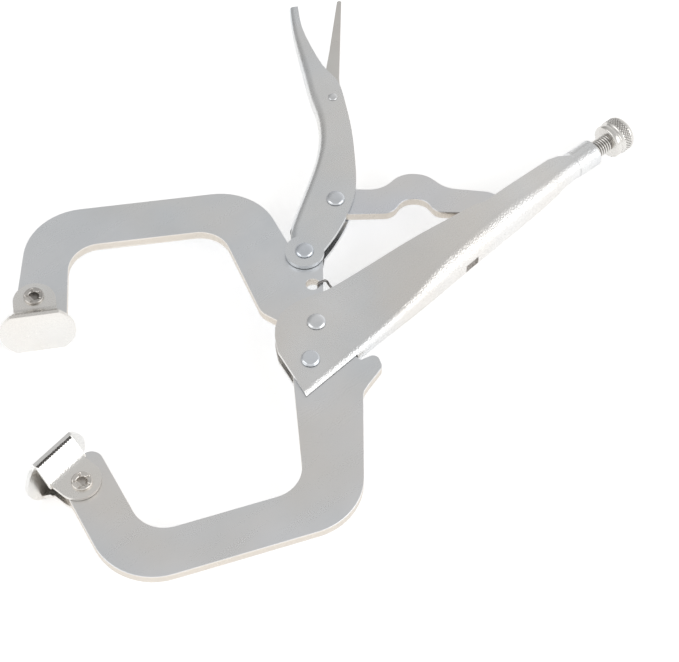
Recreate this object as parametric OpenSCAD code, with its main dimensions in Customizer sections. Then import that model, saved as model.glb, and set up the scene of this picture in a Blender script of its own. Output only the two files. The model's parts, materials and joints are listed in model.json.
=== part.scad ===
// Locking C-clamp pliers. Each C-shaped jaw is one thick plate, each handle is
// a folded steel channel, and a toggle link and a screw set the opening.
// The tool lies flat: its plates are parallel to XY and +X runs along the screw,
// out towards the knob. All the plan outlines are laid out from the main pivot.

/* [Jaws] */
// Thickness of the two jaw plates
plate_t = 4.6; // [3.8:0.2:5.6]
// Width of the arm of each C
arm_w = 20.2; // [17:0.2:24]
// Width of the root that joins each arm to the handle
root_w = 23; // [21:0.5:25]
// Length of each arm between its two corners
arm_len = 81.5; // [68:0.5:98]
// Length of the moving jaw's pad leg, from its corner to the swivel rivet
moving_leg_len = 37; // [32:0.1:46]
// Length of the fixed jaw's pad leg, from its corner to the swivel rivet
fixed_leg_len = 41; // [35:0.5:48]
// Plate left past the swivel rivet at the end of the moving jaw's leg
moving_leg_end = 12; // [10:0.5:12]
// Plate left past the swivel rivet at the end of the fixed jaw's leg
fixed_leg_end = 13; // [10:0.5:13]
// Angle by which the moving jaw's leg widens towards its end
leg_splay = 5; // [0:1:6]
// Turn of the plate at each corner between arm and pad leg
leg_turn = 80; // [75:1:88]
// Shift of each swivel rivet away from the throat
rivet_shift = 2.4; // [0:0.2:4]
// Radius of the inside corners of each C
inner_r = 14; // [10:1:16]
// Radius of the outside corners of each C
outer_r = 26; // [20:1:28]
// Distance from the main pivot to the moving jaw's upper corner
moving_reach = 71.2; // [64:0.4:80]
// Distance from the main pivot to the fixed jaw's lower corner
fixed_reach = 86.6; // [80:0.5:94]

/* [Swivel pads] */
// Diameter of a pad's pressing face
pad_d = 31.6; // [27:0.2:34]
// Width of a pad's face between its two folds
pad_across = 24.4; // [22:0.2:27]
// Thickness of the pad sheet
pad_t = 1.6; // [1.2:0.1:2]
// Distance from the swivel rivet to the pressing face
pad_reach = 16.1; // [15.9:0.1:18]
// Radius of the ears that straddle a leg
ear_r = 9; // [8:0.2:9.6]
// Swing of the fixed pad from its leg's line
fixed_pad_turn = 21; // [0:1:25]
// Swing of the moving pad from its leg's line
moving_pad_turn = 11; // [0:1:11]

/* [Handles] */
// Thickness of the folded handle sheet
wall_t = 1.9; // [1.6:0.1:2.2]
// Outside width of the main handle at its belly
belly_w = 17.4; // [15:0.4:19]
// Length of the main handle, from the main pivot to the barrel's mouth
handle_len = 155.5; // [148:0.5:165]
// Outside diameter of the barrel that holds the screw
barrel_d = 12.4; // [11.6:0.2:13]
// Radius of the lever's eye around its pivot
eye_r = 8.4; // [8:0.2:9]

/* [Linkage] */
// Place of the lever's pivot on the moving jaw
lever_pivot = [20.1, 32.2];
// Distance between the lever's two pivots
lever_span = 31.7; // [31:0.1:32.5]
// Direction from the lever's jaw pivot to its link pivot
lever_dir = 25.4; // [25:0.1:26]
// Thickness of the toggle link
link_t = 4.6; // [3.8:0.2:4.8]
// Thickness of the release lever
release_t = 4.2; // [3.4:0.2:4.6]

/* [Screw] */
// Outside diameter of the adjusting screw
screw_d = 8; // [7:0.5:8.5]
// Height of the screw's centre line above the main pivot
screw_y = -4.2; // [-5:0.2:-3.6]
// Place of the screw's tip along the handle
screw_tip = 111.5; // [111:0.5:116]
// Bare thread between the barrel and the knob
thread_shown = 9; // [5:0.2:14]
// Largest diameter of the knob
knob_d = 16; // [13:0.5:18]
// Length of the knob
knob_len = 12.5; // [11:0.5:16]

/* [Rivets] */
// Diameter of the solid rivets' shanks
rivet_d = 5; // [4:0.2:5.4]
// Diameter of the solid rivets' domed heads
head_d = 8; // [7.2:0.2:8.6]
// Diameter of the release lever's pin
pin_d = 3.2; // [2.4:0.2:3.6]
// Outside diameter of the hollow pad rivets
eyelet_d = 6; // [5:0.2:6.6]
// Diameter of the hollow rivets' rolled rims
eyelet_rim_d = 8.6; // [7.6:0.2:9.2]

/* [Spring] */
// Outside diameter of the return spring's coils
spring_d = 5.6; // [4.6:0.2:6]
// Diameter of the spring wire
wire_d = 1.1; // [0.9:0.1:1.3]

/* [Hidden] */
// Radial gap of a turning fit
run_gap = 0.05;
// Gap on each side of a plate that slides between two walls
side_gap = 0.2;
// Gap between edges that pass each other
edge_gap = 0.5;
// Overlap that makes a cut pass right through
past = 1;

// A point at a distance and an angle from another
function polar(from, dist, angle) = from + dist * [cos(angle), sin(angle)];
// The direction from one point to another
function heading(a, b) = atan2(b[1] - a[1], b[0] - a[0]);
// Where the line through a in direction da meets the line through b in db
function meet(a, da, b, db) =
    let (cross = cos(da) * sin(db) - sin(da) * cos(db), gap = b - a)
    polar(a, (gap[0] * sin(db) - gap[1] * cos(db)) / cross, da);

// Rounded outline: each corner is [x, y, radius]
corner_steps = 12;
function corner_arc(before, corner, after) =
    let (
        here = [corner[0], corner[1]],
        to_before = [before[0], before[1]] - here,
        to_after = [after[0], after[1]] - here,
        in_dir = to_before / norm(to_before),
        out_dir = to_after / norm(to_after),
        half = acos(in_dir * out_dir) / 2,
        bisector = (in_dir + out_dir) / norm(in_dir + out_dir),
        centre = here + bisector * corner[2] / sin(half),
        start = here + in_dir * corner[2] / tan(half),
        finish = here + out_dir * corner[2] / tan(half),
        from_angle = heading(centre, start),
        raw = heading(centre, finish) - from_angle,
        sweep = raw > 180 ? raw - 360 : raw < -180 ? raw + 360 : raw
    )
    [for (i = [0 : corner_steps]) polar(centre, corner[2], from_angle + sweep * i / corner_steps)];
function rounded(corners) =
    let (count = len(corners))
    [for (i = [0 : count - 1])
        let (here = corners[i])
        each here[2] > 0
            ? corner_arc(corners[(i + count - 1) % count], here, corners[(i + 1) % count])
            : [[here[0], here[1]]]];

// A value that eases from one level to another between two places
function ease(x, x0, x1, y0, y1) =
    let (t = min(1, max(0, (x - x0) / (x1 - x0))))
    y0 + (y1 - y0) * t * t * (3 - 2 * t);

// A smooth curve through a short list of points
function spline_at(points, t) =
    let (
        last = len(points) - 1,
        i = min(last - 1, max(0, floor(t * last))),
        u = t * last - i,
        a = points[max(0, i - 1)],
        b = points[i],
        c = points[i + 1],
        d = points[min(last, i + 2)]
    )
    0.5 * (2 * b + (c - a) * u + (2 * a - 5 * b + 4 * c - d) * u * u + (3 * b - a - 3 * c + d) * u * u * u);

// Main dimensions of the moving jaw's centre line
moving_knee_dir = 79;
moving_arm_dir = 148.5;
moving_root_dir = 256;
moving_knee = polar([0, 0], moving_reach, moving_knee_dir);
moving_corner = polar(moving_knee, arm_len, moving_arm_dir);
moving_leg_dir = moving_arm_dir + leg_turn;
moving_rivet = polar(polar(moving_corner, moving_leg_len, moving_leg_dir), rivet_shift, moving_leg_dir - 90);

// Main dimensions of the fixed jaw's centre line
fixed_knee_dir = 235;
fixed_arm_dir = 158.7;
fixed_root_dir = 52.6;
fixed_knee = polar([0, 0], fixed_reach, fixed_knee_dir);
fixed_corner = polar(fixed_knee, arm_len, fixed_arm_dir);
fixed_leg_dir = fixed_arm_dir - leg_turn;
fixed_rivet = polar(polar(fixed_corner, fixed_leg_len, fixed_leg_dir), rivet_shift, fixed_leg_dir + 90);

// Directions in which the two pads face
moving_pad_dir = moving_leg_dir + moving_pad_turn;
fixed_pad_dir = fixed_leg_dir + fixed_pad_turn;
fixed_face = polar(fixed_rivet, pad_reach, fixed_pad_dir);

// The hub of the moving jaw and the seat that the fixed jaw makes for it
hub_r = 12;
seat_r = hub_r + edge_gap;
// The plate rivet that holds the fixed jaw in the handle
plate_rivet = [-13.9, -13];
// Spring hole in the moving jaw
spring_hole = [12.4, 17.4];
spring_hole_d = 6;

// Linkage points
link_pivot = polar(lever_pivot, lever_span, lever_dir);
link_end = [104, screw_y];
link_len = norm(link_end - link_pivot);
link_dir = heading(link_pivot, link_end);
release_pivot = [86, 92.3];

// Half widths through the thickness of the tool
jaw_slot = plate_t / 2 + side_gap;
nose_half = jaw_slot + wall_t;
belly_half = belly_w / 2;
barrel_r = barrel_d / 2;

// The main handle's spine, width and sheet along its length
spine_start = -23.6;
spine_rise = 14;
spine_slope = spine_rise / handle_len;
barrel_start = handle_len - 12;
tail_half = barrel_r - 0.4;
tail_wall = tail_half - screw_d / 2 - 0.4;
function spine_y(x) =
    ease(x, barrel_start - 22, barrel_start, spine_start + spine_slope * x, screw_y - tail_half);
function handle_half(x) =
    ease(x, 14, 66, nose_half, belly_half) + ease(x, 98, barrel_start, 0, tail_half - belly_half);
function bend_r(x) = ease(x, 8, 66, nose_half, handle_half(x)) - 0.4;
function sheet(x) = ease(x, barrel_start - 12, barrel_start, wall_t, tail_wall);

// One U section of a folded channel, in its own plane: depth below the rim
// against the thickness direction, with a round bend on each side of the spine
bend_steps = 7;
function u_side(half, bend, depth) =
    concat([[0, half]], [for (i = [0 : bend_steps])
        let (a = 90 * i / bend_steps)
        [depth - bend + bend * sin(a), half - bend + bend * cos(a)]]);
function u_path(half, bend, depth) =
    let (side = u_side(half, bend, depth))
    concat(side, [for (i = [len(side) - 1 : -1 : 0]) [side[i][0], -side[i][1]]]);
function u_section(half, bend, depth, wall) =
    let (
        outside = u_path(half, bend, depth),
        inside = u_path(half - wall, max(bend - wall, wall / 4), depth - wall)
    )
    concat(outside, [for (i = [len(inside) - 1 : -1 : 0]) inside[i]]);

// A folded channel: each station is [rim point, spine point, half width, bend, sheet]
module channel(stations) {
    rings = [for (s = stations)
        let (depth = norm(s[1] - s[0]), across = (s[1] - s[0]) / depth)
        [for (p = u_section(s[2], s[3], depth, s[4]))
            [s[0][0] + across[0] * p[0], s[0][1] + across[1] * p[0], p[1]]]];
    ring = len(rings[0]);
    last = len(rings) - 1;
    body = [for (i = [0 : last - 1], j = [0 : ring - 1])
        let (a = i * ring + j, b = i * ring + (j + 1) % ring, c = b + ring, d = a + ring)
        each [[a, c, b], [a, d, c]]];
    // Each end is closed by strips across the sheet
    ends = [for (j = [0 : ring / 2 - 2])
        let (a = j, b = j + 1, c = ring - 2 - j, d = ring - 1 - j, far = last * ring)
        each [[a, b, c, d], [far + d, far + c, far + b, far + a]]];
    polyhedron([for (r = rings) each r], concat(body, ends), convexity = 6);
}

// Plates are drawn in plan and given their thickness about the middle plane
module plate(thickness) {
    linear_extrude(thickness, center = true) children();
}
module hole(at, r, depth = 60) {
    translate([at[0], at[1], 0])
    cylinder(r = r, h = depth, center = true, $fn = 48);
}

// A solid rivet with two low domed heads
module rivet(at, shank_r, head_r, grip_half) {
    rise = head_r * 0.42;
    dome_r = (head_r * head_r + rise * rise) / (2 * rise);
    translate([at[0], at[1], 0])
    rotate_extrude($fn = 64)
    union() {
        translate([0, -grip_half]) square([shank_r, 2 * grip_half]);
        for (side = [-1, 1]) {
            intersection() {
                translate([0, side * (grip_half + rise - dome_r)]) circle(r = dome_r, $fn = 96);
                translate([0, side > 0 ? grip_half : -grip_half - rise]) square([head_r, rise]);
            }
        }
    }
}

// C outline shared by both jaws: from root_ends round the outside of the C to the
// leg's end and back along the throat. root_dir points from the knee to the
// handle. turn is 1 where the plate turns left from root to pad, and -1 for right.
leg_half = arm_w / 2 - 0.2;
function c_outline(root_ends, root_dir, knee, arm_dir, corner, leg_dir, leg_len, splay, turn) =
    let (
        out = -90 * turn,
        leg_tip = polar(corner, leg_len, leg_dir),
        root_out = polar(knee, root_w / 2, root_dir + 180 + out),
        root_in = polar(knee, root_w / 2, root_dir + 180 - out),
        arm_out = polar(knee, arm_w / 2, arm_dir + out),
        arm_in = polar(knee, arm_w / 2, arm_dir - out),
        leg_out = polar(corner, leg_half, leg_dir + out),
        leg_in = polar(polar(corner, arm_w, leg_dir), leg_half, leg_dir - out),
        leg_in_dir = leg_dir + splay * turn,
        b = meet(root_out, root_dir, arm_out, arm_dir),
        c = meet(arm_out, arm_dir, leg_out, leg_dir),
        d = meet(leg_out, leg_dir, leg_tip, leg_dir + 90),
        e = meet(leg_in, leg_in_dir, leg_tip, leg_dir + 90),
        f = meet(leg_in, leg_in_dir, arm_in, arm_dir),
        g = meet(arm_in, arm_dir, root_in, root_dir)
    )
    rounded(concat([[b[0], b[1], outer_r], [c[0], c[1], outer_r], [d[0], d[1], 8], [e[0], e[1], 5],
        [f[0], f[1], inner_r], [g[0], g[1], inner_r]], root_ends));

// The moving jaw's root narrows to its hub, and an ear stands out for the lever
jaw_ear_r = eye_r - 0.6;
root_shoulder = [-13.4, 20];
module moving_jaw() {
    root_out = polar(moving_knee, root_w / 2, moving_root_dir + 90);
    ear_top = meet(root_out, moving_root_dir, [0, lever_pivot[1] + jaw_ear_r], 0);
    color("silver")
    difference() {
        plate(plate_t)
        union() {
            polygon(c_outline([[root_shoulder[0], root_shoulder[1], 8], [-hub_r * 0.6, 0, 0], [0, 0, 0],
                [lever_pivot[0], lever_pivot[1], 0], [ear_top[0], ear_top[1], 0]],
                moving_root_dir, moving_knee, moving_arm_dir, moving_corner, moving_leg_dir,
                moving_leg_len + moving_leg_end, leg_splay, 1));
            circle(r = hub_r, $fn = 96);
            translate(lever_pivot) circle(r = jaw_ear_r, $fn = 96);
            polygon([[0, 0], polar([0, 0], 3, -40), polar(lever_pivot, jaw_ear_r, -40), lever_pivot]);
        }
        hole([0, 0], rivet_d / 2 + run_gap);
        hole(lever_pivot, rivet_d / 2 + run_gap);
        hole(spring_hole, spring_hole_d / 2);
        hole(moving_rivet, eyelet_d / 2 + run_gap);
    }
}

// The fixed jaw's root passes up through a slot in the spine, and its horn
// reaches along below the spine
slot_end = 3;
root_top = -7;
horn_drop = 1.9;
module fixed_jaw() {
    spine_here = spine_y(slot_end) - horn_drop;
    color("silver")
    difference() {
        plate(plate_t)
        difference() {
            polygon(c_outline([[-20.5, -9, 0], [-19, root_top, 1.5], [slot_end - edge_gap, root_top, 0],
                [slot_end - edge_gap, spine_here, 1], [10.1, spine_here - 1.7, 2.8], [7.4, -33.8, 3.4],
                [-3, -36.9, 6], [-7, -38.4, 6]],
                fixed_root_dir, fixed_knee, fixed_arm_dir, fixed_corner, fixed_leg_dir,
                fixed_leg_len + fixed_leg_end, 0, -1));
            circle(r = seat_r, $fn = 96);
        }
        hole(plate_rivet, rivet_d / 2);
        hole(fixed_rivet, eyelet_d / 2 + run_gap);
    }
}

// Rim of the main handle: the nose is a smooth curve round the pivot, and the
// rest is a run of straight stretches with one small step down
nose_rim = [[-21.6, -1.4], [-16.6, 7], [-9.6, 12.4], [-2.5, 13.6], [6, 12.2], [14, 10]];
nose_foot = -26.4;
nose_end = 14;
body_rim = [[nose_end, 10], [87, 2.4], [90, 2.2], [95, 0.4], [barrel_start - 10, 1.8],
    [barrel_start - 5, 0.6], [barrel_start, screw_y + 1.4], [barrel_start + 2, screw_y + 1.2]];
function body_station(x) =
    [[x, lookup(x, body_rim)], [x, spine_y(x)], handle_half(x), bend_r(x), sheet(x)];
function nose_station(t) =
    let (x = nose_foot + (nose_end - nose_foot) * t)
    [spline_at(nose_rim, t), [x, spine_y(x)], handle_half(x), bend_r(x), sheet(x)];

// Window in the spine, and the tab that is pushed in from it for the spring
window_x = 67.4;
window_len = 7.4;
window_w = 4.2;
tab_w = 3.4;
tab_len = 6;
tab_t = 1.2;
// A cut between two walls also takes a thin skin off each, to leave no sliver
skin = 0.1;

module main_handle() {
    nose = [for (i = [0 : 11]) nose_station(i / 12)];
    belly = [for (i = [0 : 14]) body_station(nose_end + (87 - nose_end) * i / 14)];
    tail = [for (x = [90, 95, 101, 108, 115, 122, 128, barrel_start - 10, barrel_start - 7.5,
        barrel_start - 5, barrel_start - 2.5, barrel_start, barrel_start + 2]) body_station(x)];
    color("gainsboro")
    difference() {
        union() {
            channel(concat(nose, belly, tail));
            // Barrel, threaded for the screw
            translate([barrel_start, screw_y, 0])
            rotate([0, 90, 0])
            cylinder(r = barrel_r, h = handle_len - barrel_start, $fn = 64);
            // Spring tab, pushed in from the window's inner end
            translate([window_x, spine_y(window_x) + 0.4, -tab_w / 2])
            rotate([0, 0, 62])
            cube([tab_len, tab_t, tab_w]);
        }
        // Slot in the spine for the fixed jaw
        translate([-40, -40, -jaw_slot - skin])
        cube([40 + slot_end, 40 + spine_start + 4, 2 * (jaw_slot + skin)]);
        // Window for the spring's anchor
        translate([window_x + 1.2, spine_y(window_x) - past, -window_w / 2])
        cube([window_len, wall_t + 2 * past, window_w]);
        hole([0, 0], rivet_d / 2);
        hole(plate_rivet, rivet_d / 2);
        translate([barrel_start - past, screw_y, 0])
        rotate([0, 90, 0])
        cylinder(r = screw_d / 2 + run_gap, h = 20, $fn = 64);
    }
}

// The lever's spine and rim, from its eye to its tip
lever_spine = [[18.6, 39.6], [23.1, 46.1], [38.5, 56.8], [50.3, 64.7], [60.8, 72.9], [68.2, 80.9],
    [73.8, 89.3], [79.1, 100.9], [87.4, 116.4], [98.8, 137], [108, 150.6]];
lever_rim = [[25.5, 27], [36, 30.6], [47, 36], [59, 44.4], [70, 57.8], [80, 72],
    [87.6, 85], [94, 98], [95.6, 112], [103.1, 134.2], [111.5, 148.4]];
lever_slot = link_t / 2 + side_gap;
lever_half = lever_slot + wall_t;
// At its eye the lever straddles the jaw plate instead of the link
eye_half = jaw_slot + wall_t;
prong_half = 2.6;
web_r = 14.8;

module lever_handle() {
    steps = 34;
    stations = [for (i = [steps : -1 : 0])
        let (
            t = i / steps,
            rim = spline_at(lever_rim, t),
            spine = spline_at(lever_spine, t),
            half = ease(t, 0.1, 0.17, eye_half, lever_half) + ease(t, 0.74, 1, 0, prong_half - lever_half)
        )
        [rim, spine, half, min(half - 0.4, norm(rim - spine) * 0.6), wall_t]];
    color("gainsboro")
    difference() {
        union() {
            channel(stations);
            translate([lever_pivot[0], lever_pivot[1], 0])
            cylinder(r = eye_r, h = 2 * (eye_half + skin), center = true, $fn = 96);
        }
        // Between its walls the web stops short of the eye
        translate([lever_pivot[0], lever_pivot[1], 0])
        cylinder(r = web_r, h = 2 * (jaw_slot + skin), center = true, $fn = 96);
        hole(lever_pivot, rivet_d / 2);
        hole(link_pivot, rivet_d / 2);
        hole(release_pivot, pin_d / 2);
    }
}

// Side view of the toggle link, along its own length from the lever's rivet
hump_at = 33.5;
hump_rise = 18;
link_half = 7.4;
link_eye_r = link_half - 0.8;
link_nose = 2.2;
function link_outline() = rounded([
    [-link_half, link_half, link_eye_r], [20, link_half + 0.4, 13], [hump_at - 5, hump_rise, 12],
    [hump_at + 6, hump_rise - 1, 12], [48, 9.8, 13], [link_len - 8, 8.4, 12],
    [link_len + link_nose, 4, 3.6], [link_len + link_nose, -4, 3.6], [43.5, -4, 6],
    [39, 3, 7.6], [29.5, 3, 7.6], [25, -5.4, 7], [-link_half, -link_half, link_eye_r]]);

module toggle_link() {
    color("silver")
    translate([link_pivot[0], link_pivot[1], 0])
    rotate([0, 0, link_dir])
    difference() {
        plate(link_t) polygon(link_outline());
        hole([0, 0], rivet_d / 2 + run_gap);
    }
}

// Side view of the release lever, along the line from its pin to its tip
release_dir = 47.2;
release_len = 63.5;
release_toe = 13;
function release_outline() = rounded([
    [release_len, 1.2, 1], [release_len, -0.8, 0.8], [36, -1.5, 40], [14, -2.2, 20], [-4, -4.4, 6],
    [-release_toe, -4.4, 2], [-release_toe, 0, 2], [-3, 4.6, 6], [8, 5, 8], [30, 3.2, 40]]);

module release_lever() {
    color("gainsboro")
    translate([release_pivot[0], release_pivot[1], 0])
    rotate([0, 0, release_dir])
    difference() {
        plate(release_t) polygon(release_outline());
        hole([0, 0], pin_d / 2 + run_gap);
    }
}

// The screw, from its round tip to the middle of its knob
knob_start = handle_len + thread_shown;
module adjusting_screw() {
    end = knob_start + knob_len - 3;
    nose = screw_d / 2 - 1.2;
    color("silver")
    translate([0, screw_y, 0])
    rotate([90, 0, 90])
    rotate_extrude($fn = 64)
    polygon([[0, screw_tip], [nose - 0.8, screw_tip], [nose, screw_tip + 0.8], [nose, screw_tip + 3],
        [screw_d / 2, screw_tip + 4.2], [screw_d / 2, end], [0, end]]);
}

// The knob: plain collar, groove, knurled drum and domed end
module screw_knob() {
    r = knob_d / 2;
    collar = 3;
    groove = 0.8;
    drum_end = knob_len - 4;
    dome = 4;
    color("silver")
    translate([knob_start, screw_y, 0])
    rotate([90, 0, 90])
    difference() {
        rotate_extrude($fn = 96)
        union() {
            polygon([[0, 0], [r - 1.8, 0], [r - 0.3, 0.7], [r - 0.3, collar], [r - 1.1, collar + 0.2],
                [r - 1.1, collar + groove], [r - 0.4, collar + groove + 0.2], [r, collar + groove + 0.8],
                [r, drum_end], [0, drum_end]]);
            intersection() {
                translate([0, drum_end]) scale([r / dome, 1]) circle(r = dome, $fn = 64);
                translate([0, drum_end]) square([r, dome]);
            }
        }
        translate([0, 0, -past]) cylinder(r = screw_d / 2 + run_gap, h = knob_len - 3 + 2 * past, $fn = 64);
    }
}

module main_pivot_rivet() {
    color("lightgrey") rivet([0, 0], rivet_d / 2, head_d / 2, nose_half);
}
module fixed_jaw_rivet() {
    color("lightgrey") rivet(plate_rivet, rivet_d / 2, head_d / 2, nose_half);
}
module lever_jaw_rivet() {
    color("lightgrey") rivet(lever_pivot, rivet_d / 2, head_d / 2, eye_half + skin);
}
module lever_link_rivet() {
    color("lightgrey") rivet(link_pivot, rivet_d / 2, head_d / 2, lever_half);
}
module release_lever_pin() {
    color("lightgrey") rivet(release_pivot, pin_d / 2, pin_d * 0.66, lever_half);
}

// A pad, drawn with its swivel rivet at the origin and its face towards +X
ear_gap = plate_t / 2 + side_gap;
ear_start = 7.5;
ear_shift = 1.9;
fold_extra = 0.8;
module pad() {
    half = pad_across / 2;
    ear_w = 2 * ear_r;
    difference() {
        union() {
            // Pressing face: a disc cut off by the two folds
            translate([pad_reach - pad_t, 0, 0])
            rotate([0, 90, 0])
            linear_extrude(pad_t)
            intersection() {
                circle(r = pad_d / 2, $fn = 96);
                square([pad_across, pad_d + past], center = true);
            }
            for (side = [-1, 1]) {
                // Ear beside the leg
                translate([0, 0, side * (ear_gap + pad_t / 2)])
                linear_extrude(pad_t, center = true)
                union() {
                    translate([ear_shift, 0]) circle(r = ear_r, $fn = 96);
                    translate([ear_shift, -ear_r]) square([ear_start - ear_shift, ear_w]);
                }
                // Slanted flange from the ear out to the fold
                rotate([90, 0, 0])
                linear_extrude(ear_w + 2 * fold_extra, center = true)
                polygon([
                    [ear_start, side * ear_gap],
                    [ear_start, side * (ear_gap + pad_t)],
                    [pad_reach - pad_t / 2, side * half],
                    [pad_reach - pad_t / 2, side * (half - pad_t)],
                    [pad_reach - pad_t, side * (half - 1.5 * pad_t)],
                    [ear_start + 1.2, side * ear_gap]]);
            }
        }
        hole([0, 0], eyelet_d / 2);
    }
}

// A hollow rivet with a rolled rim on both sides of a pad
module eyelet() {
    seat = ear_gap + pad_t;
    wall = 0.9;
    rise = 1.2;
    in_r = eyelet_d / 2 - wall;
    rim_r = eyelet_rim_d / 2;
    rim = [[rim_r, seat], [rim_r, seat + 0.4], [rim_r - 0.5, seat + rise], [rim_r - 1.2, seat + rise],
        [in_r + 0.5, seat + rise / 2], [in_r, seat + rise / 2]];
    rotate_extrude($fn = 64)
    polygon(concat([[in_r + wall, seat]], rim, [for (i = [len(rim) - 1 : -1 : 0]) [rim[i][0], -rim[i][1]]],
        [[in_r + wall, -seat]]));
}

module at_moving_pad() {
    translate([moving_rivet[0], moving_rivet[1], 0]) rotate([0, 0, moving_pad_dir]) children();
}
module at_fixed_pad() {
    translate([fixed_rivet[0], fixed_rivet[1], 0]) rotate([0, 0, fixed_pad_dir]) children();
}
module moving_pad() {
    color("whitesmoke") at_moving_pad() pad();
}
module fixed_pad() {
    color("whitesmoke") at_fixed_pad() pad();
}
module moving_pad_rivet() {
    color("lightgrey") at_moving_pad() eyelet();
}
module fixed_pad_rivet() {
    color("lightgrey") at_fixed_pad() eyelet();
}

// Return spring: a hook up through the moving jaw's hole and over its edge, a
// straight wire down into the handle, a close coil, and a wire to the tab
spring_anchor = [window_x - 1.8, spine_y(window_x) + 4.6];
over_face = plate_t / 2 + wire_d / 2 + side_gap;
in_hole = spring_hole + (spring_hole_d / 2 - wire_d / 2 - 0.1) * [cos(-43), sin(-43)];
over_edge = [17.8, spring_hole[1] - 2.2];
beside_edge = [18.4, spring_hole[1] - 3.4];
under_rim = [18.4, 8];
coil_at = [28, 4];
coil_end = 9;
module rod(a, b, r) {
    way = b - a;
    flat = norm([way[0], way[1]]);
    translate(a)
    rotate([0, atan2(flat, way[2]), atan2(way[1], way[0])])
    cylinder(r = r, h = norm(way), $fn = 32);
}
module tension_spring() {
    dir = heading(coil_at, spring_anchor);
    reach = norm(spring_anchor - coil_at);
    function lifted(p, z) = [p[0], p[1], z];
    hook = [lifted(in_hole, -over_face), lifted(in_hole, over_face), lifted(over_edge, over_face),
        lifted(beside_edge, 0), lifted(under_rim, 0), lifted(polar(coil_at, past, dir), 0)];
    color("dimgray")
    union() {
        for (i = [0 : len(hook) - 2]) {
            rod(hook[i], hook[i + 1], wire_d / 2);
            translate(hook[i + 1]) sphere(r = wire_d / 2 + run_gap, $fn = 32);
        }
        rod(lifted(coil_at, 0), lifted(polar(coil_at, reach - coil_end, dir), 0), spring_d / 2);
        rod(lifted(polar(coil_at, reach - coil_end - past, dir), 0), lifted(spring_anchor, 0), wire_d / 2);
    }
}

// The origin is the middle of the fixed pad's pressing face
module placed() {
    translate([-fixed_face[0], -fixed_face[1], 0]) children();
}

placed() main_handle();
placed() fixed_jaw();
placed() moving_jaw();
placed() lever_handle();
placed() toggle_link();
placed() release_lever();
placed() adjusting_screw();
placed() screw_knob();
placed() tension_spring();
placed() main_pivot_rivet();
placed() fixed_jaw_rivet();
placed() lever_jaw_rivet();
placed() lever_link_rivet();
placed() release_lever_pin();
placed() moving_pad();
placed() fixed_pad();
placed() moving_pad_rivet();
placed() fixed_pad_rivet();
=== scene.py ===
"""Looks for a pair of locking C-clamp pliers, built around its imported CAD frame."""

import json
import math

import bmesh
import bpy
from mathutils import Matrix, Vector


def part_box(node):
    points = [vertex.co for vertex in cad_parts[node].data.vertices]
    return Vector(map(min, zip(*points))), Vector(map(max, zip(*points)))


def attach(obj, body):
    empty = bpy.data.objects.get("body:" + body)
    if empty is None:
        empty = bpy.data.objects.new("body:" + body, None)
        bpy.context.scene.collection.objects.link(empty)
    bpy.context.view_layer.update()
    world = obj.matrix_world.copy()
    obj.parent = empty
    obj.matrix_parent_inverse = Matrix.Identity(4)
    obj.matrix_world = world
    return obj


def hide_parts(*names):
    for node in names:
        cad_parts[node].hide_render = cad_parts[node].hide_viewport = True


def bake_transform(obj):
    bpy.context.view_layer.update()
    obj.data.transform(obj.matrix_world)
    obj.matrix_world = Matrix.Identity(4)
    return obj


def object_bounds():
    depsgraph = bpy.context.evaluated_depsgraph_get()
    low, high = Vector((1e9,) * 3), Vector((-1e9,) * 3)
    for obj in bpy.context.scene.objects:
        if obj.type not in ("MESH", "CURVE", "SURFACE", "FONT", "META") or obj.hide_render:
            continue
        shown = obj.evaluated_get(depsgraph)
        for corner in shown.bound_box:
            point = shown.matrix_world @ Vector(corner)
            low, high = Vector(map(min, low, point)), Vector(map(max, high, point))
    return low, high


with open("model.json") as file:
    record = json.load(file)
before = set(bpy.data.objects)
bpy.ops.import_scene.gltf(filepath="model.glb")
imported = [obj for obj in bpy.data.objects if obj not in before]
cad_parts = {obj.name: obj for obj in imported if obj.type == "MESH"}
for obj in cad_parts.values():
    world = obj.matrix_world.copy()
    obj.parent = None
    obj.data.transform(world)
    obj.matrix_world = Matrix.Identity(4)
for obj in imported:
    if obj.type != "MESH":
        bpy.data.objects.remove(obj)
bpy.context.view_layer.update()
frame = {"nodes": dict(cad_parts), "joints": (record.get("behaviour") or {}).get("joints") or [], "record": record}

JOINTS = {joint["name"]: joint for joint in frame["joints"]}
BODY_OF = {
    node: body
    for body, members in frame["record"]["behaviour"]["bodies"].items()
    for node in members
}
UP = Vector((0, 0, 1))
ALONG = Vector((1, 0, 0))


def mm(length):
    """A length in millimetres, as metres."""
    return length / 1000


def place_of(joint_name):
    """Where a joint stands at rest."""
    return Vector(JOINTS[joint_name]["pos_m"])


main_pivot = place_of("jaw_pivot")


# ---------------------------------------------------------------- camera and light

VIEW_TURN = math.radians(-40)
VIEW_RISE = math.radians(54)
VIEW_DISTANCE = 0.8328
AIM_FROM_PIVOT = Vector((0.0064, -0.0073, 0))
LENS = 106.05
SENSOR_WIDTH = 36
SKY_HORIZON = 0.95
SKY_OVERHEAD = 0.6
SKY_BEHIND = 0.45


def away(turn, rise):
    """The direction from the object towards a place at that turn and rise."""
    return Vector((math.sin(turn) * math.cos(rise), -math.cos(turn) * math.cos(rise), math.sin(rise)))


def make_camera():
    data = bpy.data.cameras.new("camera")
    data.lens = LENS
    data.sensor_width = SENSOR_WIDTH
    data.clip_start = 0.05
    data.clip_end = 20
    camera = bpy.data.objects.new("camera", data)
    bpy.context.scene.collection.objects.link(camera)
    back = away(VIEW_TURN, VIEW_RISE)
    camera.location = main_pivot + AIM_FROM_PIVOT + back * VIEW_DISTANCE
    camera.rotation_mode = "QUATERNION"
    camera.rotation_quaternion = (-back).to_track_quat("-Z", "Y")
    bpy.context.scene.camera = camera


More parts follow.
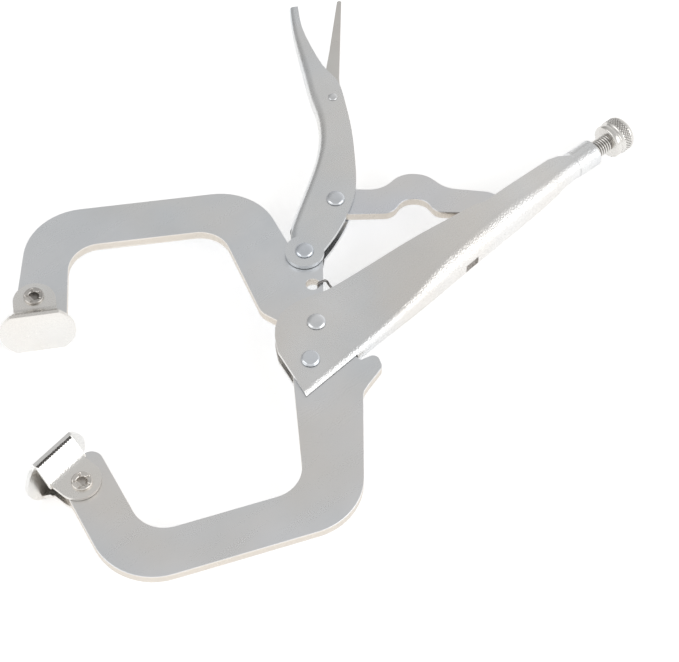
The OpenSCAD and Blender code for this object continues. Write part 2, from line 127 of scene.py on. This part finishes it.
def make_softbox(name, turn, rise, distance, size, power):
    data = bpy.data.lights.new(name, "AREA")
    data.shape = "RECTANGLE"
    data.size, data.size_y = size
    data.energy = power
    light = bpy.data.objects.new(name, data)
    bpy.context.scene.collection.objects.link(light)
    back = away(math.radians(turn), math.radians(rise))
    light.location = main_pivot + back * distance
    light.rotation_mode = "QUATERNION"
    light.rotation_quaternion = (-back).to_track_quat("-Z", "Y")


def make_sky():
    """A soft studio sky, bright at the horizon, greyer overhead and dim behind the tool."""
    world = bpy.data.worlds.new("studio")
    world.use_nodes = True
    tree = world.node_tree
    sky = tree.nodes["Background"]
    coords = tree.nodes.new("ShaderNodeTexCoord")
    split = tree.nodes.new("ShaderNodeSeparateXYZ")
    fade = tree.nodes.new("ShaderNodeMapRange")
    fade.inputs["From Min"].default_value = 0.05
    fade.inputs["From Max"].default_value = 0.9
    fade.inputs["To Min"].default_value = SKY_HORIZON
    fade.inputs["To Max"].default_value = SKY_OVERHEAD
    tree.links.new(coords.outputs["Generated"], split.inputs["Vector"])
    tree.links.new(split.outputs["Z"], fade.inputs["Value"])
    behind = tree.nodes.new("ShaderNodeMapRange")
    behind.inputs["From Min"].default_value = 0.55
    behind.inputs["From Max"].default_value = 0.95
    behind.inputs["To Min"].default_value = 1
    behind.inputs["To Max"].default_value = SKY_BEHIND
    dimmed = tree.nodes.new("ShaderNodeMath")
    dimmed.operation = "MULTIPLY"
    tree.links.new(split.outputs["Y"], behind.inputs["Value"])
    tree.links.new(fade.outputs["Result"], dimmed.inputs[0])
    tree.links.new(behind.outputs["Result"], dimmed.inputs[1])
    tree.links.new(dimmed.outputs["Value"], sky.inputs["Strength"])
    sky.inputs["Color"].default_value = (1.0, 0.995, 0.985, 1)
    bpy.context.scene.world = world


def make_light():
    bpy.context.scene.view_settings.view_transform = "Standard"
    make_sky()
    make_softbox("front_softbox", 30, 30, 1.5, (1.5, 0.8), 5.5)
    make_softbox("left_softbox", -110, 35, 1.6, (1.2, 0.7), 3)


make_camera()
make_light()


# ---------------------------------------------------------------- materials


class Shader:
    """A material's node tree, built one named node at a time."""

    def __init__(self, name):
        self.material = bpy.data.materials.new(name)
        self.material.use_nodes = True
        self.tree = self.material.node_tree
        self.surface = self.tree.nodes["Principled BSDF"]
        self.coords = self.tree.nodes.new("ShaderNodeTexCoord").outputs["Object"]

    def join(self, source, target):
        self.tree.links.new(source, target)

    def stretched(self, scale):
        node = self.tree.nodes.new("ShaderNodeMapping")
        node.inputs["Scale"].default_value = scale
        self.join(self.coords, node.inputs["Vector"])
        return node.outputs["Vector"]

    def noise(self, scale, detail=2.0, roughness=0.5, stretch=None):
        node = self.tree.nodes.new("ShaderNodeTexNoise")
        node.inputs["Scale"].default_value = scale
        node.inputs["Detail"].default_value = detail
        node.inputs["Roughness"].default_value = roughness
        self.join(self.stretched(stretch) if stretch else self.coords, node.inputs["Vector"])
        return node.outputs["Fac"]

    def cells(self, scale):
        node = self.tree.nodes.new("ShaderNodeTexVoronoi")
        node.inputs["Scale"].default_value = scale
        self.join(self.coords, node.inputs["Vector"])
        return node.outputs["Distance"]

    def ranged(self, value, low, high, to_low, to_high):
        node = self.tree.nodes.new("ShaderNodeMapRange")
        node.inputs["From Min"].default_value = low
        node.inputs["From Max"].default_value = high
        node.inputs["To Min"].default_value = to_low
        node.inputs["To Max"].default_value = to_high
        self.join(value, node.inputs["Value"])
        return node.outputs["Result"]

    def sum_of(self, a, b, operation="ADD"):
        node = self.tree.nodes.new("ShaderNodeMath")
        node.operation = operation
        for socket, value in zip(node.inputs, (a, b)):
            if isinstance(value, (int, float)):
                socket.default_value = value
            else:
                self.join(value, socket)
        return node.outputs["Value"]

    def blend_of(self, share, first, second):
        node = self.tree.nodes.new("ShaderNodeMix")
        node.data_type = "RGBA"
        node.inputs["Factor"].default_value = 0
        self.join(share, node.inputs["Factor"])
        for socket, value in ((node.inputs["A"], first), (node.inputs["B"], second)):
            if isinstance(value, tuple):
                socket.default_value = (*value, 1)
            else:
                self.join(value, socket)
        return node.outputs["Result"]

    def steepness(self):
        """0 where a surface faces straight up or down, and 1 where it stands upright."""
        normal = self.tree.nodes.new("ShaderNodeNewGeometry").outputs["Normal"]
        split = self.tree.nodes.new("ShaderNodeSeparateXYZ")
        self.join(normal, split.inputs["Vector"])
        flat = self.sum_of(split.outputs["Z"], 0, "ABSOLUTE")
        return self.sum_of(1, flat, "SUBTRACT")

    def height(self):
        """Distance from the tool's middle plane."""
        split = self.tree.nodes.new("ShaderNodeSeparateXYZ")
        self.join(self.coords, split.inputs["Vector"])
        return self.sum_of(split.outputs["Z"], 0, "ABSOLUTE")

    def reach_from(self, axis_y):
        """Distance from a line along X at that Y, in the tool's middle plane."""
        flat = self.tree.nodes.new("ShaderNodeMapping")
        flat.inputs["Scale"].default_value = (0, 1, 1)
        flat.inputs["Location"].default_value = (0, -axis_y, 0)
        reach = self.tree.nodes.new("ShaderNodeVectorMath")
        reach.operation = "LENGTH"
        self.join(self.coords, flat.inputs["Vector"])
        self.join(flat.outputs["Vector"], reach.inputs[0])
        return reach.outputs["Value"]

    def bump(self, height, depth):
        node = self.tree.nodes.new("ShaderNodeBump")
        node.inputs["Strength"].default_value = 1
        node.inputs["Distance"].default_value = depth
        self.join(height, node.inputs["Height"])
        self.join(node.outputs["Normal"], self.surface.inputs["Normal"])

    def finish(self, colour, roughness, metallic=1.0):
        self.surface.inputs["Metallic"].default_value = metallic
        self.join(colour, self.surface.inputs["Base Color"])
        self.join(roughness, self.surface.inputs["Roughness"])
        return self.material


WARM_NICKEL = (0.82, 0.78, 0.73)


def make_plating(name, bright, dull, smooth, rough, grain=0.05, sparkle=0.0, sheared=None):
    """Nickel plate on steel: clouded tone with warmer patches, fine grain, faint
    rubbing, and sparkle where the sheet is bent. sheared is the half thickness of a stamped
    plate, whose upright edges are bright at the rim and torn in the middle."""
    shader = Shader(name)
    cloud = shader.noise(26, detail=4, roughness=0.6)
    patch = shader.noise(7, detail=2)
    rubbed = shader.noise(60, detail=3, stretch=(0.4, 2.6, 1))
    fine = shader.noise(2600, detail=2, roughness=0.7)
    tone = shader.ranged(shader.sum_of(cloud, patch), 0.75, 1.25, 0, 1)
    warmth = shader.ranged(shader.noise(17, detail=2), 0.42, 0.66, 0, 0.6)
    colour = shader.blend_of(warmth, shader.blend_of(tone, dull, bright), WARM_NICKEL)
    matt = shader.ranged(shader.sum_of(rubbed, fine), 0.7, 1.3, smooth, rough)
    steep = shader.steepness()
    relief = shader.sum_of(fine, shader.ranged(cloud, 0.3, 0.7, 0, 0.6))
    if sparkle:
        bend = shader.sum_of(
            shader.ranged(steep, 0.006, 0.07, 0, 1), shader.ranged(steep, 0.98, 1.0, 0, 0.7), "SUBTRACT"
        )
        pits = shader.sum_of(
            shader.ranged(shader.cells(1900), 0.0, 0.6, 0, 0.5),
            shader.ranged(shader.cells(1050), 0.0, 0.6, 0, 0.6),
        )
        grains = shader.sum_of(pits, bend, "MULTIPLY")
        relief = shader.sum_of(relief, shader.sum_of(grains, sparkle, "MULTIPLY"))
    if sheared:
        edge = shader.ranged(steep, 0.6, 0.9, 0, 1)
        ragged = shader.sum_of(shader.height(), shader.ranged(cloud, 0.3, 0.7, mm(-0.25), mm(0.25)))
        torn = shader.sum_of(shader.ranged(ragged, sheared * 0.55, sheared * 0.75, 1, 0), edge, "MULTIPLY")
        strokes = shader.noise(900, detail=2, stretch=(1, 1, 0.12))
        tears = shader.sum_of(strokes, torn, "MULTIPLY")
        relief = shader.sum_of(relief, shader.sum_of(tears, 5, "MULTIPLY"))
        colour = shader.blend_of(shader.sum_of(edge, 0.8, "MULTIPLY"), colour, (0.80, 0.75, 0.68))
        colour = shader.blend_of(shader.sum_of(torn, 0.5, "MULTIPLY"), colour, (0.62, 0.55, 0.47))
    shader.bump(relief, mm(grain))
    return shader.finish(colour, matt)


FLOOR_GLOW = 0.42


def make_turned(name, radius, groove, cut_from, cut_to):
    """Plated steel, with painted shade darkening the grooves cut between two places along X."""
    shader = Shader(name)
    cloud = shader.noise(90, detail=4, roughness=0.6)
    rings = shader.noise(900, detail=2, stretch=(1, 0.1, 0.1))
    plated = shader.blend_of(cloud, (0.66, 0.64, 0.61), (0.86, 0.85, 0.83))
    reach = shader.reach_from(place_of("screw_slide").y)
    split = shader.tree.nodes.new("ShaderNodeSeparateXYZ")
    shader.join(shader.coords, split.inputs["Vector"])
    after = shader.ranged(split.outputs["X"], cut_from, cut_from + mm(0.1), 0, 1)
    before = shader.ranged(split.outputs["X"], cut_to - mm(0.1), cut_to, 1, 0)
    deep = shader.ranged(reach, radius - groove, radius - groove * 0.3, 1, 0)
    painted_groove_shade = shader.sum_of(deep, shader.sum_of(after, before, "MULTIPLY"), "MULTIPLY")
    # painted shade: near-black deep in the grooves, standing in for the shade between the ridges
    colour = shader.blend_of(painted_groove_shade, plated, (0.10, 0.09, 0.08))
    matt = shader.ranged(rings, 0.3, 0.7, 0.16, 0.34)
    shader.bump(rings, mm(0.03))
    return shader.finish(colour, matt)


def make_floor_paint():
    shader = Shader("pale_floor")
    cloud = shader.noise(2.5, detail=3)
    colour = shader.blend_of(cloud, (0.86, 0.86, 0.86), (0.88, 0.88, 0.88))
    matt = shader.ranged(shader.noise(300), 0.3, 0.7, 0.75, 0.9)
    shader.surface.inputs["Specular IOR Level"].default_value = 0.2
    shader.surface.inputs["Emission Color"].default_value = (1, 1, 1, 1)
    shader.surface.inputs["Emission Strength"].default_value = FLOOR_GLOW
    return shader.finish(colour, matt, metallic=0.0)


PLATE_HALF = mm(2.3)
SHEET = make_plating("folded_plate", (0.84, 0.84, 0.84), (0.74, 0.76, 0.78), 0.2, 0.36, 0.022, sparkle=8)
LEVER_SHEET = make_plating("lever_plate", (0.83, 0.84, 0.85), (0.72, 0.75, 0.78), 0.2, 0.36, 0.02,
                           sparkle=1.5)
PLATE = make_plating("stamped_plate", (0.84, 0.85, 0.87), (0.73, 0.76, 0.79), 0.24, 0.40, 0.02,
                     sheared=PLATE_HALF)
LINK_PLATE = make_plating("link_plate", (0.80, 0.82, 0.86), (0.72, 0.74, 0.79), 0.24, 0.40, 0.02,
                          sheared=PLATE_HALF)
# A darker copy of the plating: painted shade on the release lever, which lies inside the lever handle's channel.
SHADED_RELEASE_PLATE = make_plating("release_plate_painted_shade", (0.76, 0.75, 0.73), (0.62, 0.61, 0.59), 0.26, 0.42, 0.02)
PAD_SHEET = make_plating("pressed_pad", (0.90, 0.90, 0.89), (0.80, 0.80, 0.79), 0.22, 0.36, 0.02, sparkle=4)
RIVET_STEEL = make_plating("rivet_plate", (0.80, 0.83, 0.87), (0.62, 0.66, 0.72), 0.14, 0.28, 0.02)
EYELET_STEEL = make_plating("eyelet_plate", (0.66, 0.64, 0.62), (0.34, 0.33, 0.32), 0.12, 0.26, 0.03)
# Near-black painted shade: for the beads along the pads' folds and the shadow discs inside the hollow rivets.
PAINTED_SHADE_STEEL = make_plating("painted_shade_plate", (0.10, 0.09, 0.09), (0.03, 0.03, 0.03), 0.35, 0.6, 0.05)
SPRING_WIRE = make_plating("spring_wire", (0.36, 0.35, 0.34), (0.20, 0.19, 0.19), 0.3, 0.5, 0.02)


# ---------------------------------------------------------------- mesh helpers


def weight_normals(mesh):
    """Lets the large flat faces set the shading, so only the narrow rounds look round."""
    work = bmesh.new()
    work.from_mesh(mesh)
    normals = []
    for vert in work.verts:
        total = Vector((0, 0, 0))
        for face in vert.link_faces:
            total += face.normal * face.calc_area()
        normals.append(total.normalized() if total.length else UP)
    work.free()
    mesh.normals_split_custom_set_from_vertices(normals)


def add_piece(name, work, material, body, stands_for=()):
    """Turns a finished bmesh into a piece that rides on its body. A piece with
    no body is left free."""
    bmesh.ops.recalc_face_normals(work, faces=work.faces)
    mesh = bpy.data.meshes.new(name)
    work.to_mesh(mesh)
    work.free()
    for face in mesh.polygons:
        face.use_smooth = True
    mesh.materials.append(material)
    piece = bpy.data.objects.new(name, mesh)
    bpy.context.scene.collection.objects.link(piece)
    if body:
        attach(piece, body)
    if stands_for:
        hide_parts(*stands_for)
    return piece


def is_bend(edge):
    """True where a flat ear turns into a slanted flange."""
    if len(edge.link_faces) != 2:
        return False
    leans = sorted(abs(face.normal.z) for face in edge.link_faces)
    return leans[1] > 0.99 and 0.4 < leans[0] < 0.9 and edge.calc_length() > mm(10)


def dress(node, material, round_off, segments=2, sharp=38, flat=0.8, bend=0.0):
    """Stands a merged copy with rounded edges in for a CAD node. bend is how far
    back a pad's folds are rounded."""
    work = bmesh.new()
    work.from_mesh(frame["nodes"][node].data)
    bmesh.ops.remove_doubles(work, verts=work.verts, dist=mm(0.002))
    bmesh.ops.dissolve_limit(
        work, angle_limit=math.radians(flat), verts=work.verts, edges=work.edges, delimit={"NORMAL"}
    )
    if bend:
        bmesh.ops.bevel(
            work,
            geom=[edge for edge in work.edges if is_bend(edge)],
            offset=bend,
            offset_type="OFFSET",
            segments=6,
            profile=0.5,
            affect="EDGES",
            material=-1,
            clamp_overlap=True,
        )
    crisp = [
        edge
        for edge in work.edges
        if len(edge.link_faces) == 2 and edge.calc_face_angle() > math.radians(sharp)
    ]
    bmesh.ops.bevel(
        work,
        geom=crisp,
        offset=round_off,
        offset_type="OFFSET",
        segments=segments,
        profile=0.5,
        affect="EDGES",
        material=-1,
        clamp_overlap=True,
    )
    piece = add_piece(node + "_skin", work, material, BODY_OF[node], (node,))
    weight_normals(piece.data)
    return piece


def lathe(profile, steps):
    """A closed round body about Z from a profile of [radius, height] points."""
    work = bmesh.new()
    verts = [work.verts.new((radius, 0, height)) for radius, height in profile]
    edges = [work.edges.new(pair) for pair in zip(verts, verts[1:])]
    bmesh.ops.spin(
        work, geom=verts + edges, cent=(0, 0, 0), axis=UP, angle=math.tau, steps=steps, use_merge=True
    )
    bmesh.ops.remove_doubles(work, verts=work.verts, dist=mm(0.001))
    return work


def stand(work, place, axis):
    """Moves a body made about Z so that it stands at a place along an axis."""
    turn = UP.rotation_difference(axis).to_matrix().to_4x4()
    bmesh.ops.transform(work, matrix=Matrix.Translation(place) @ turn, verts=work.verts)


def arc(centre, radius, start, finish, steps):
    """Points round an arc in a profile, angles in degrees."""
    spread = (finish - start) / steps
    return [
        (
            centre[0] + radius * math.cos(math.radians(start + spread * step)),
            centre[1] + radius * math.sin(math.radians(start + spread * step)),
        )
        for step in range(steps + 1)
    ]


# ---------------------------------------------------------------- sheet and plate pieces

dress("main_handle", SHEET, mm(0.45), segments=3, flat=0.3)
dress("lever_handle", LEVER_SHEET, mm(0.45), segments=3, flat=0.3)
for stamped in ("fixed_jaw", "moving_jaw"):
    dress(stamped, PLATE, mm(0.4), segments=3)
dress("toggle_link", LINK_PLATE, mm(0.4), segments=3)
dress("release_lever", SHADED_RELEASE_PLATE, mm(0.4), segments=3)
for pressed in ("moving_pad", "fixed_pad"):
    dress(pressed, PAD_SHEET, mm(0.35), segments=3, bend=mm(2))


# ---------------------------------------------------------------- rivets


def middle_of(node):
    low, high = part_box(node)
    return (low + high) / 2


DOME_RISE = 0.36
DOME_STEPS = 10


def make_rivet(node, flat_share):
    """A closed rivet with a low dome, worn flat over a share of its head."""
    low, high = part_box(node)
    head = (high.x - low.x) / 2
    top = high.z
    rise = head * DOME_RISE
    rim = top - rise
    dome = []
    for step in range(DOME_STEPS + 1):
        turn = math.pi / 2 * step / DOME_STEPS
        reach = head * (flat_share + (1 - flat_share) * math.cos(turn))
        dome.append((reach, rim + rise * math.sin(turn)))
    upper = [*dome, (0, top)]
    profile = upper + [(radius, -height) for radius, height in reversed(upper)]
    work = lathe(profile, 64)
    stand(work, middle_of(node), UP)
    return add_piece(node + "_head", work, RIVET_STEEL, BODY_OF[node], (node,))


make_rivet("main_pivot_rivet", 0.25)
make_rivet("fixed_jaw_rivet", 0.72)
make_rivet("lever_jaw_rivet", 0.25)
make_rivet("lever_link_rivet", 0.25)
make_rivet("release_lever_pin", 0.1)


# ---------------------------------------------------------------- star-rolled hollow rivets

PETALS = 5
PETAL_DEPTH = mm(0.95)
RIM_RISE = mm(1.2)
RIM_WIDTH = mm(2.2)
LIP = mm(0.75)
LIP_LIFT = mm(0.2)
ROLL = mm(0.6)
SHADOW_DISC_SPREAD = mm(0.3)
SHADOW_DISC_THICKNESS = mm(0.3)


def make_eyelet(node):
    """A hollow rivet whose mouth is split and rolled over into petals, with a near-black disc of painted shadow
    set inside its bore.
    """
    low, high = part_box(node)
    rim = (high.x - low.x) / 2
    top = high.z
    seat = top - RIM_RISE
    bore = rim - RIM_WIDTH
    upper = [(bore, 0), (bore, seat + LIP_LIFT)]
    upper += arc((bore + LIP, seat + LIP_LIFT), LIP, 180, 90, 5)
    upper += [(rim - mm(0.9), seat + mm(0.98))]
    upper += arc((rim - ROLL, seat + ROLL), ROLL, 90, -60, 6)
    upper += [(rim - mm(0.8), seat)]
    profile = [(radius, -height) for radius, height in reversed(upper[1:])] + upper
    work = lathe(profile, 96)
    bmesh.ops.holes_fill(work, edges=[edge for edge in work.edges if edge.is_boundary])
    for vert in work.verts:
        reach = math.hypot(vert.co.x, vert.co.y)
        if abs(vert.co.z) > seat and reach < rim - mm(0.5):
            turn = math.atan2(vert.co.y, vert.co.x)
            split = max(0, math.cos(PETALS * turn)) ** 6
            vert.co.z -= math.copysign(PETAL_DEPTH * split, vert.co.z)
    stand(work, middle_of(node), UP)
    add_piece(node + "_star", work, EYELET_STEEL, BODY_OF[node], (node,))
    # painted shadow: a near-black disc set down inside the bore on each side, standing in for the dark hollow
    shadow_disc = bmesh.new()
    for side in (-1, 1):
        floor_at = Matrix.Translation((0, 0, side * (seat - mm(0.25))))
        bmesh.ops.create_cone(
            shadow_disc,
            cap_ends=True,
            segments=48,
            radius1=bore + SHADOW_DISC_SPREAD,
            radius2=bore + SHADOW_DISC_SPREAD,
            depth=SHADOW_DISC_THICKNESS,
            matrix=floor_at,
        )
    stand(shadow_disc, middle_of(node), UP)
    add_piece(node + "_well", shadow_disc, PAINTED_SHADE_STEEL, BODY_OF[node])


make_eyelet("moving_pad_rivet")
make_eyelet("fixed_pad_rivet")


# ---------------------------------------------------------------- crimps along each pad's folds

FOLD_DEPTH = mm(2.0)
FOLD_HEIGHT = mm(11.4)
FOLD_REACH = mm(8.8)
CRIMPS = 15
CRIMP_RADIUS = mm(0.62)
CRIMP_FLATTEN = 0.8


def make_crimps(body):
    """Small pressed beads behind the pressing face, along both folds of a pad, coloured near-black as painted
    shade in the folds.
    """
    mount = next(m for m in frame["record"]["mounts"] if m["name"] == body + "_face")
    facing = Vector(mount["axis"])
    face = Vector(mount["pos_m"])
    across = UP.cross(facing)
    work = bmesh.new()
    for side in (-1, 1):
        for bead in range(CRIMPS):
            along = FOLD_REACH * (2 * bead / (CRIMPS - 1) - 1)
            place = face - facing * FOLD_DEPTH + across * along + UP * side * FOLD_HEIGHT
            shape = Matrix.Translation(place) @ Matrix.Diagonal((1, 1, CRIMP_FLATTEN, 1))
            bmesh.ops.create_icosphere(work, subdivisions=2, radius=CRIMP_RADIUS, matrix=shape)
    return add_piece(body + "_crimps", work, PAINTED_SHADE_STEEL, body)


make_crimps("moving_pad")
make_crimps("fixed_pad")


# ---------------------------------------------------------------- screw and knob

PITCH = mm(1.25)
THREAD_DEPTH = mm(0.62)


def make_screw():
    """The threaded screw, from its plain round tip to the end inside the knob."""
    low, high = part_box("adjusting_screw")
    radius = (high.z - low.z) / 2
    length = high.x - low.x
    plain = mm(4.2)
    rings = int((length - plain) / PITCH * 8)
    nose = radius - mm(1.2)
    profile = [(0, 0), (nose - mm(0.8), 0), (nose, mm(0.8)), (nose, mm(3)), (radius - mm(0.3), plain)]
    profile += [(radius, plain + (length - plain) * ring / rings) for ring in range(1, rings + 1)]
    profile += [(0, length)]
    work = lathe(profile, 48)
    for vert in work.verts:
        if vert.co.z > plain + mm(0.01) and math.hypot(vert.co.x, vert.co.y) > radius / 2:
            turn = math.atan2(vert.co.y, vert.co.x) / math.tau
            phase = (vert.co.z / PITCH - turn) % 1
            cut = THREAD_DEPTH * min(1, max(0, 1.25 - 2.9 * abs(phase - 0.5)))
            vert.co.x *= (radius - cut) / radius
            vert.co.y *= (radius - cut) / radius
    stand(work, Vector((low.x, place_of("screw_slide").y, 0)), ALONG)
    # painted shade: the thread's grooves are coloured near-black
    steel = make_turned("cut_thread", radius, THREAD_DEPTH, low.x + plain, high.x)
    return add_piece("screw_thread", work, steel, "screw", ("adjusting_screw",))


KNURLS = 34
KNURL_DEPTH = mm(0.42)


def make_knob():
    """The knob: collar, groove, diamond-knurled drum and domed end."""
    low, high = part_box("screw_knob")
    radius = (high.z - low.z) / 2
    length = high.x - low.x
    collar = mm(3)
    drum_start = collar + mm(1.7)
    drum_end = length - mm(4)
    rings = 40
    profile = [(0, 0), (radius - mm(1.8), 0), (radius - mm(0.6), mm(0.3)), (radius - mm(0.3), mm(0.8))]
    profile += [(radius - mm(0.3), collar - mm(0.2)), (radius - mm(0.5), collar)]
    profile += [(radius - mm(1.1), collar + mm(0.2)), (radius - mm(1.1), collar + mm(0.8))]
    profile += [(radius - mm(0.5), drum_start - mm(0.5))]
    drum = drum_end - drum_start
    profile += [(radius, drum_start + drum * ring / rings) for ring in range(rings + 1)]
    dome_steps = 12
    for step in range(1, dome_steps + 1):
        turn = math.pi / 2 * step / dome_steps
        profile.append((radius * math.cos(turn), drum_end + (length - drum_end) * math.sin(turn)))
    work = lathe(profile, KNURLS * 8)
    slant = KNURLS / (math.tau * radius)
    for vert in work.verts:
        along = vert.co.z
        fade = min(1, max(0, (along - drum_start) / mm(0.3)), max(0, (drum_end - along) / mm(0.4)))
        if fade > 0 and math.hypot(vert.co.x, vert.co.y) > radius * 0.9:
            turn = math.atan2(vert.co.y, vert.co.x) / math.tau * KNURLS
            left = abs((turn + along * slant) % 1 - 0.5) * 2
            right = abs((turn - along * slant) % 1 - 0.5) * 2
            cut = KNURL_DEPTH * max(left, right) ** 2 * fade
            vert.co.x *= (radius - cut) / radius
            vert.co.y *= (radius - cut) / radius
    stand(work, Vector((low.x, place_of("screw_slide").y, 0)), ALONG)
    # painted shade: the knurl's grooves are coloured near-black
    steel = make_turned("cut_knurl", radius, KNURL_DEPTH, low.x + drum_start, low.x + drum_end)
    return add_piece("knob_knurl", work, steel, "knob", ("screw_knob",))


make_screw()
make_knob()


# ---------------------------------------------------------------- return spring

WIRE = mm(0.55)
HOOK_ROUTE = [(14.1, 15.8, -3.0), (14.1, 15.8, 2.6), (14.6, 15.7, 3.0), (17.2, 15.3, 3.0), (18.1, 14.9, 2.2),
              (18.4, 14.0, 0.2), (18.2, 8, 0), (22.5, 5.8, 0), (30, 3, 0)]
COIL_START = (28, 4, 0)
COIL_RADIUS = mm(2.25)
COIL_PITCH = mm(1.14)
COIL_STEPS = 20
WIRE_SIDES = 8
TAIL_ROOM = mm(9)
TAIL_OVERLAP = mm(1)
TAIL_STRAIGHT = mm(4)


def from_pivot(place):
    """A point given in millimetres from the main pivot."""
    return main_pivot + Vector([mm(value) for value in place])


def add_wire(work, route):
    """A round wire along a smooth route."""
    data = bpy.data.curves.new("wire", "CURVE")
    data.dimensions = "3D"
    data.bevel_depth = WIRE
    data.bevel_resolution = 3
    data.use_fill_caps = True
    data.resolution_u = 6
    spline = data.splines.new("NURBS")
    spline.points.add(len(route) - 1)
    for point, place in zip(spline.points, route):
        point.co = (*place, 1)
    spline.order_u = 3
    spline.use_endpoint_u = True
    holder = bpy.data.objects.new("wire", data)
    bpy.context.scene.collection.objects.link(holder)
    bpy.context.view_layer.update()
    mesh = bpy.data.meshes.new_from_object(holder.evaluated_get(bpy.context.evaluated_depsgraph_get()))
    work.from_mesh(mesh)
    bpy.data.objects.remove(holder)


def make_spring():
    """The return spring: hook over the moving jaw, close coil, and tail to the tab."""
    low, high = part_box("tension_spring")
    start = from_pivot(COIL_START)
    tail = Vector((high.x, low.y + WIRE, 0))
    way = (tail - start).normalized()
    length = (tail - start).length - TAIL_ROOM
    turns = int(length / COIL_PITCH)
    side = UP.cross(way)
    work = bmesh.new()
    section = [
        work.verts.new(start + side * COIL_RADIUS + (side * math.cos(turn) + way * math.sin(turn)) * WIRE)
        for turn in [math.tau * step / WIRE_SIDES for step in range(WIRE_SIDES)]
    ]
    edges = [work.edges.new((section[step], section[step - 1])) for step in range(WIRE_SIDES)]
    step_shift = way * (COIL_PITCH / COIL_STEPS)
    bmesh.ops.spin(
        work,
        geom=section + edges,
        cent=start,
        axis=way,
        dvec=step_shift,
        angle=math.tau * turns,
        steps=COIL_STEPS * turns,
    )
    bmesh.ops.holes_fill(work, edges=[edge for edge in work.edges if edge.is_boundary])
    add_wire(work, [from_pivot(place) for place in HOOK_ROUTE])
    add_wire(work, [start + way * (length - TAIL_OVERLAP), start + way * (length + TAIL_STRAIGHT), tail])
    spring = add_piece("return_spring", work, SPRING_WIRE, None, ("tension_spring",))
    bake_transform(spring)


make_spring()



# ---------------------------------------------------------------- floor


FLOOR_REACH = 2.5


def make_floor():
    low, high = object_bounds()
    work = bmesh.new()
    bmesh.ops.create_grid(work, x_segments=8, y_segments=8, size=FLOOR_REACH)
    bmesh.ops.transform(work, matrix=Matrix.Translation((0, 0, low.z)), verts=work.verts)
    mesh = bpy.data.meshes.new("floor")
    work.to_mesh(mesh)
    work.free()
    mesh.materials.append(make_floor_paint())
    floor = bpy.data.objects.new("floor", mesh)
    bpy.context.scene.collection.objects.link(floor)


make_floor()
